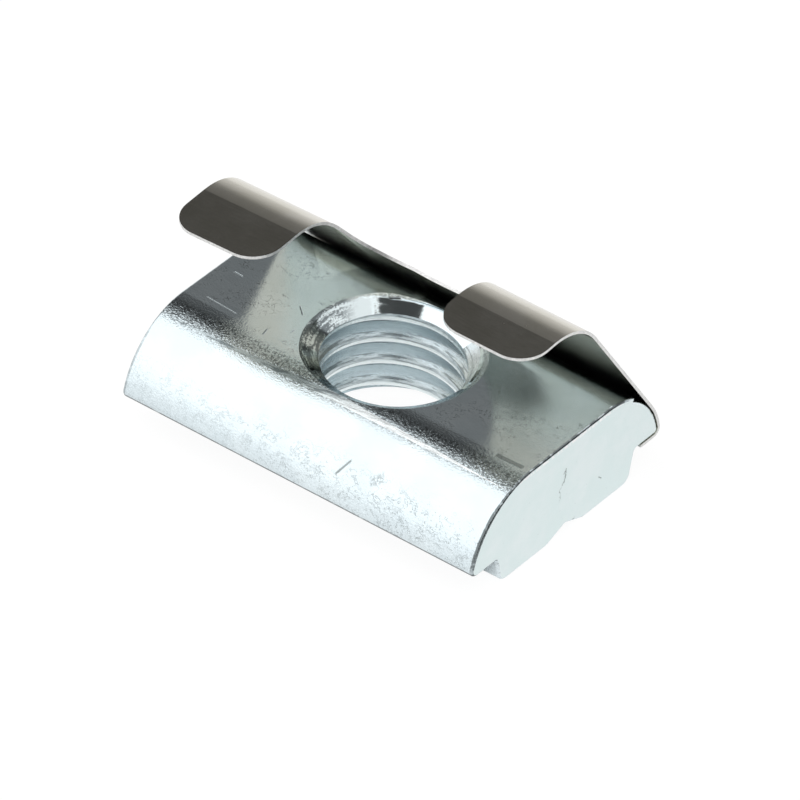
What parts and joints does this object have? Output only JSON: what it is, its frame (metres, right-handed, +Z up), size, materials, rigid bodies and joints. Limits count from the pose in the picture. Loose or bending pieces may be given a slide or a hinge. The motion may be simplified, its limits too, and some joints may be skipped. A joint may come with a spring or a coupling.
{
  "type": "t slot nut",
  "caption": "Oblong slot nut with curved back, two shoulders, rib and central threaded hole, held in the slot by a bent spring leaf with two tabs.",
  "frame": {"origin": "on the threaded hole's axis, at the underside of the rib", "axes": "+Z up along the threaded hole, from the rib to the curved back; +X along the nut and the slot; +Y across, towards the shoulder that carries the spring leaf"},
  "size_m": [0.02, 0.014, 0.0117],
  "materials": {
    "zinc_plated_steel": "bright zinc plated, drawn surface, sheared ends",
    "spring_steel": "cold rolled stainless spring strip, satin, sheared edges"
  },
  "bodies": {
    "root": {"nut_body": "zinc_plated_steel", "spring_leaf": "spring_steel"}
  },
  "joints": []
}
